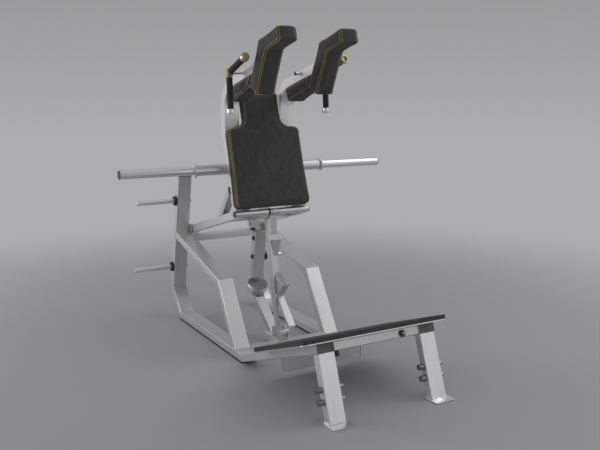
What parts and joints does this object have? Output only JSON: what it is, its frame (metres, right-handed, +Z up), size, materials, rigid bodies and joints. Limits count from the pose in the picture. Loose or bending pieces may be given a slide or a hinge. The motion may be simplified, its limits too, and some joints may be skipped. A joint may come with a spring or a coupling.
{
  "type": "hack squat machine",
  "caption": "Plate-loaded lever squat machine: a padded carriage with shoulder pads, handles and a weight bar swings up on rear pivots, held at rest by a foot-worked lock lever.",
  "frame": {"origin": "on the floor, at the middle of the machine's length and width", "axes": "+Z up, -Y towards the foot platform at the front, +X to the right of somebody who stands in front of the platform and looks at the machine"},
  "size_m": [1.696, 2.0474, 1.7842],
  "materials": {
    "frame_steel": "satin",
    "chrome": "polished",
    "black_plastic": "matte",
    "rubber": "matte",
    "pad_leather": "matte",
    "champagne": "satin",
    "platform_steel": "brushed"
  },
  "bodies": {
    "base": {"left_upright": "frame_steel", "right_upright": "frame_steel", "left_base_rail": "frame_steel", "right_base_rail": "frame_steel", "left_platform_beam": "frame_steel", "right_platform_beam": "frame_steel", "left_front_leg": "frame_steel", "right_front_leg": "frame_steel", "left_top_rail": "frame_steel", "right_top_rail": "frame_steel", "base_strips": "rubber", "tube_plugs": "black_plastic", "base_cross_tube": "frame_steel", "lever_base": "frame_steel", "rear_cross_tube": "frame_steel", "front_cross_tube": "frame_steel", "cover_panel": "frame_steel", "foot_platform": "platform_steel", "platform_mat": "rubber", "left_platform_support": "frame_steel", "right_platform_support": "frame_steel", "storage_pegs": "chrome", "peg_collars": "rubber", "base_bolts": "chrome", "pivot_brackets": "frame_steel", "pivot_pins": "chrome", "bumper_strut": "frame_steel", "bumper": "rubber", "lever_clevis": "frame_steel", "lever_pin": "chrome"},
    "carriage": {"left_arm": "frame_steel", "right_arm": "frame_steel", "rest_bar": "frame_steel", "bar_end_plugs": "black_plastic", "carriage_cross_tube": "frame_steel", "left_back_tube": "frame_steel", "right_back_tube": "frame_steel", "braces": "frame_steel", "weight_bar": "frame_steel", "bar_sleeves": "chrome", "bar_saddles": "frame_steel", "back_board": "black_plastic", "back_pad": "pad_leather", "left_front_pad": "pad_leather", "right_front_pad": "pad_leather", "left_shoulder_pad": "pad_leather", "right_shoulder_pad": "pad_leather", "pad_plates": "black_plastic", "handle_frames": "champagne", "handle_grips": "rubber", "handle_caps": "champagne", "post_socket": "frame_steel", "stop_post": "frame_steel", "post_bolts": "chrome", "rest_foot": "frame_steel"},
    "lock_lever": {"lever_stem": "frame_steel", "lever_tube": "frame_steel", "lever_catch": "frame_steel", "foot_pedal": "frame_steel"}
  },
  "joints": [
    {"name": "carriage_pivot", "type": "hinge", "parent": "base", "child": "carriage", "pos_m": [0, 0.883, 0.588], "axis": [-1, 0, 0], "range_deg": [0, 30]},
    {"name": "lock_lever_pivot", "type": "hinge", "parent": "base", "child": "lock_lever", "pos_m": [0, 0.074, 0.08], "axis": [1, 0, 0], "range_deg": [0, 20]}
  ]
}
